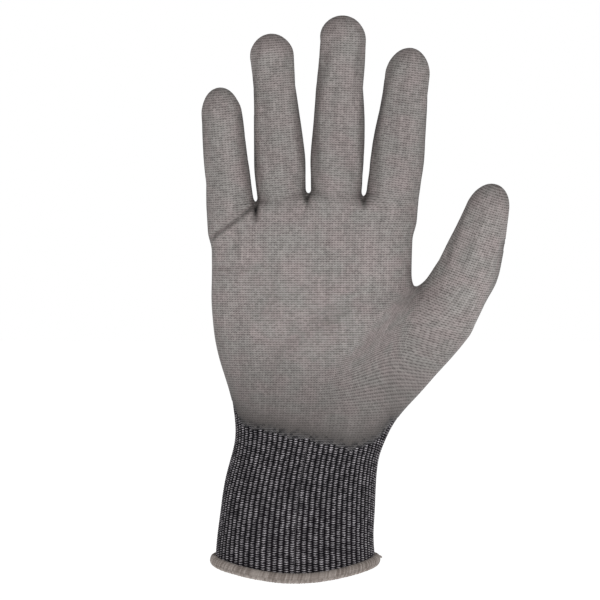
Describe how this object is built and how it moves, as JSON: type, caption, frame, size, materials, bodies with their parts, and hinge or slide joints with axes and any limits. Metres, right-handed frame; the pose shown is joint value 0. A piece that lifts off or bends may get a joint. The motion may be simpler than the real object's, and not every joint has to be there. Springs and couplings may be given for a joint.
{
  "type": "cut resistant glove",
  "caption": "Right-hand knitted work glove in the round shape of a worn hand, with a dip-coated palm and fingertips, a ribbed knit cuff and an overlocked hem; wrist, fingers and thumb bend.",
  "frame": {"origin": "centre of the hand opening, level with the lowest point of the hem", "axes": "+Z from the hem to the fingertips, the palm faces -Y and the back of the hand +Y, the thumb is at +X"},
  "size_m": [0.1354, 0.0516, 0.2497],
  "materials": {
    "knit": "dark heather fine-gauge knit",
    "coating": "thin matt grey polyurethane film over the knit",
    "fold": "knit with its film, where it creases as a joint bends",
    "thread": "taupe overlock thread"
  },
  "bodies": {
    "cuff": {"cuff_knit": "knit", "hem_overlock": "thread"},
    "palm": {"palm_knit": "knit", "palm_coating": "coating", "wrist_knit": "knit"},
    "little_finger_base": {"little_finger_base_knit": "knit", "little_finger_base_coating": "coating", "little_finger_base_fold": "fold"},
    "little_finger_mid": {"little_finger_mid_knit": "knit", "little_finger_mid_coating": "coating", "little_finger_mid_fold": "fold"},
    "little_finger_tip": {"little_finger_tip_knit": "knit", "little_finger_tip_coating": "coating", "little_finger_tip_fold": "fold"},
    "ring_finger_base": {"ring_finger_base_knit": "knit", "ring_finger_base_coating": "coating", "ring_finger_base_fold": "fold"},
    "ring_finger_mid": {"ring_finger_mid_knit": "knit", "ring_finger_mid_coating": "coating", "ring_finger_mid_fold": "fold"},
    "ring_finger_tip": {"ring_finger_tip_knit": "knit", "ring_finger_tip_coating": "coating", "ring_finger_tip_fold": "fold"},
    "middle_finger_base": {"middle_finger_base_knit": "knit", "middle_finger_base_coating": "coating", "middle_finger_base_fold": "fold"},
    "middle_finger_mid": {"middle_finger_mid_knit": "knit", "middle_finger_mid_coating": "coating", "middle_finger_mid_fold": "fold"},
    "middle_finger_tip": {"middle_finger_tip_knit": "knit", "middle_finger_tip_coating": "coating", "middle_finger_tip_fold": "fold"},
    "index_finger_base": {"index_finger_base_knit": "knit", "index_finger_base_coating": "coating", "index_finger_base_fold": "fold"},
    "index_finger_mid": {"index_finger_mid_knit": "knit", "index_finger_mid_coating": "coating", "index_finger_mid_fold": "fold"},
    "index_finger_tip": {"index_finger_tip_knit": "knit", "index_finger_tip_coating": "coating", "index_finger_tip_fold": "fold"},
    "thumb_base": {"thumb_base_knit": "knit", "thumb_base_coating": "coating", "thumb_base_fold": "fold"},
    "thumb_tip": {"thumb_tip_knit": "knit", "thumb_tip_coating": "coating", "thumb_tip_fold": "fold"}
  },
  "joints": [
    {"name": "wrist", "type": "hinge", "parent": "cuff", "child": "palm", "pos_m": [0.0064, 0, 0.066], "axis": [1, 0, 0], "range_deg": [-30, 45], "deforming": ["wrist_knit"]},
    {"name": "little_finger_root_joint", "type": "hinge", "parent": "palm", "child": "little_finger_base", "pos_m": [-0.02903, -0.0038, 0.17359], "axis": [0.9994, 0, 0.0356], "range_deg": [0, 65], "deforming": ["little_finger_base_fold"]},
    {"name": "little_finger_middle_joint", "type": "hinge", "parent": "little_finger_base", "child": "little_finger_mid", "pos_m": [-0.03016, -0.00468, 0.18626], "axis": [0.9994, 0, 0.0356], "range_deg": [0, 85], "deforming": ["little_finger_mid_fold"]},
    {"name": "little_finger_end_joint", "type": "hinge", "parent": "little_finger_mid", "child": "little_finger_tip", "pos_m": [-0.03159, -0.00635, 0.20234], "axis": [0.9994, 0, 0.0356], "range_deg": [0, 51], "deforming": ["little_finger_tip_fold"]},
    {"name": "ring_finger_root_joint", "type": "hinge", "parent": "palm", "child": "ring_finger_base", "pos_m": [-0.00623, -0.004, 0.17718], "axis": [0.9996, 0, 0.029], "range_deg": [0, 65], "deforming": ["ring_finger_base_fold"]},
    {"name": "ring_finger_middle_joint", "type": "hinge", "parent": "ring_finger_base", "child": "ring_finger_mid", "pos_m": [-0.00768, -0.00528, 0.19717], "axis": [0.9996, 0, 0.029], "range_deg": [0, 85], "deforming": ["ring_finger_mid_fold"]},
    {"name": "ring_finger_end_joint", "type": "hinge", "parent": "ring_finger_mid", "child": "ring_finger_tip", "pos_m": [-0.00931, -0.00729, 0.21959], "axis": [0.9996, 0, 0.029], "range_deg": [0, 51], "deforming": ["ring_finger_tip_fold"]},
    {"name": "middle_finger_root_joint", "type": "hinge", "parent": "palm", "child": "middle_finger_base", "pos_m": [0.01804, -0.00416, 0.17849], "axis": [0.9999, 0, -0.0165], "range_deg": [0, 65], "deforming": ["middle_finger_base_fold"]},
    {"name": "middle_finger_middle_joint", "type": "hinge", "parent": "middle_finger_base", "child": "middle_finger_mid", "pos_m": [0.01898, -0.00558, 0.20109], "axis": [0.9999, 0, -0.0165], "range_deg": [0, 85], "deforming": ["middle_finger_mid_fold"]},
    {"name": "middle_finger_end_joint", "type": "hinge", "parent": "middle_finger_mid", "child": "middle_finger_tip", "pos_m": [0.02, -0.00771, 0.22578], "axis": [0.9999, 0, -0.0165], "range_deg": [0, 51], "deforming": ["middle_finger_tip_fold"]},
    {"name": "index_finger_root_joint", "type": "hinge", "parent": "palm", "child": "index_finger_base", "pos_m": [0.04354, -0.00416, 0.17804], "axis": [0.9987, 0, -0.0504], "range_deg": [0, 65], "deforming": ["index_finger_base_fold"]},
    {"name": "index_finger_middle_joint", "type": "hinge", "parent": "index_finger_base", "child": "index_finger_mid", "pos_m": [0.04575, -0.00529, 0.19544], "axis": [0.9987, 0, -0.0504], "range_deg": [0, 85], "deforming": ["index_finger_mid_fold"]},
    {"name": "index_finger_end_joint", "type": "hinge", "parent": "index_finger_mid", "child": "index_finger_tip", "pos_m": [0.0483, -0.00717, 0.21558], "axis": [0.9987, 0, -0.0504], "range_deg": [0, 51], "deforming": ["index_finger_tip_fold"]},
    {"name": "thumb_root_joint", "type": "hinge", "parent": "palm", "child": "thumb_base", "pos_m": [0.06968, -0.00848, 0.12587], "axis": [0.8743, -0.3255, -0.36], "range_deg": [0, 35], "deforming": ["thumb_base_fold"]},
    {"name": "thumb_end_joint", "type": "hinge", "parent": "thumb_base", "child": "thumb_tip", "pos_m": [0.07853, -0.01183, 0.15039], "axis": [0.8743, -0.3255, -0.36], "range_deg": [0, 50], "deforming": ["thumb_tip_fold"]}
  ],
  "couplings": [
    {"joint": "little_finger_end_joint", "follows": "little_finger_middle_joint", "ratio": 0.6},
    {"joint": "ring_finger_end_joint", "follows": "ring_finger_middle_joint", "ratio": 0.6},
    {"joint": "middle_finger_end_joint", "follows": "middle_finger_middle_joint", "ratio": 0.6},
    {"joint": "index_finger_end_joint", "follows": "index_finger_middle_joint", "ratio": 0.6}
  ]
}
